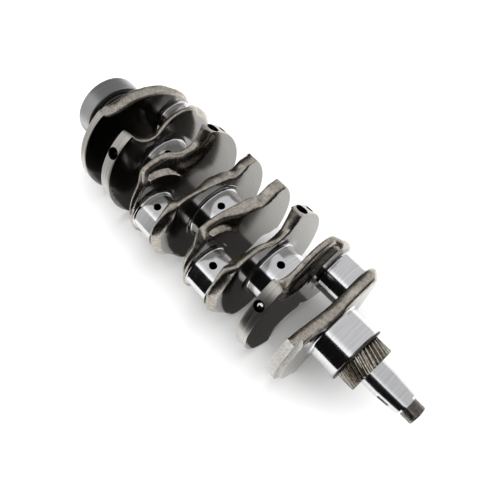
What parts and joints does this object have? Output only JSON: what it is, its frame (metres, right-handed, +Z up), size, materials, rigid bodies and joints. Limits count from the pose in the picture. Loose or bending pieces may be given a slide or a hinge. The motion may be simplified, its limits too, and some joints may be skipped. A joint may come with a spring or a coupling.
{
  "type": "crankshaft",
  "caption": "Forged engine crankshaft with counterweighted webs, ground journals and pins, a flywheel flange and a keyed nose with a timing gear.",
  "frame": {"origin": "on the crank axis at the flywheel face", "axes": "+X along the crank axis from the flywheel face to the nose, +Y from the axis to crankpins 1 and 4, +Z up"},
  "size_m": [0.497, 0.154, 0.1348],
  "materials": {
    "ground_journal": "ground and polished",
    "forged_web": "as forged flanks, shot blasted, with turned cheeks and rims",
    "flange_steel": "turned satin",
    "gear_steel": "hobbed, brownish temper tone",
    "thrower_steel": "pressed sheet, dark",
    "nose_steel": "ground",
    "thread_steel": "cut thread, dark",
    "plug_ball": "polished bearing steel",
    "key_steel": "drawn"
  },
  "bodies": {
    "root": {"flywheel_flange": "flange_steel", "main_journal_1": "ground_journal", "main_journal_2": "ground_journal", "main_journal_3": "ground_journal", "main_journal_4": "ground_journal", "main_journal_5": "ground_journal", "crankpin_1": "ground_journal", "crankpin_2": "ground_journal", "crankpin_3": "ground_journal", "crankpin_4": "ground_journal", "web_1_front": "forged_web", "web_1_rear": "forged_web", "web_2_front": "forged_web", "web_2_rear": "forged_web", "web_3_front": "forged_web", "web_3_rear": "forged_web", "web_4_front": "forged_web", "web_4_rear": "forged_web", "oil_plug_1": "plug_ball", "oil_plug_2": "plug_ball", "oil_plug_3": "plug_ball", "oil_plug_4": "plug_ball", "oil_thrower": "thrower_steel", "timing_gear": "gear_steel", "gear_key": "key_steel", "nose_shaft": "nose_steel", "threaded_end": "thread_steel"}
  },
  "joints": []
}
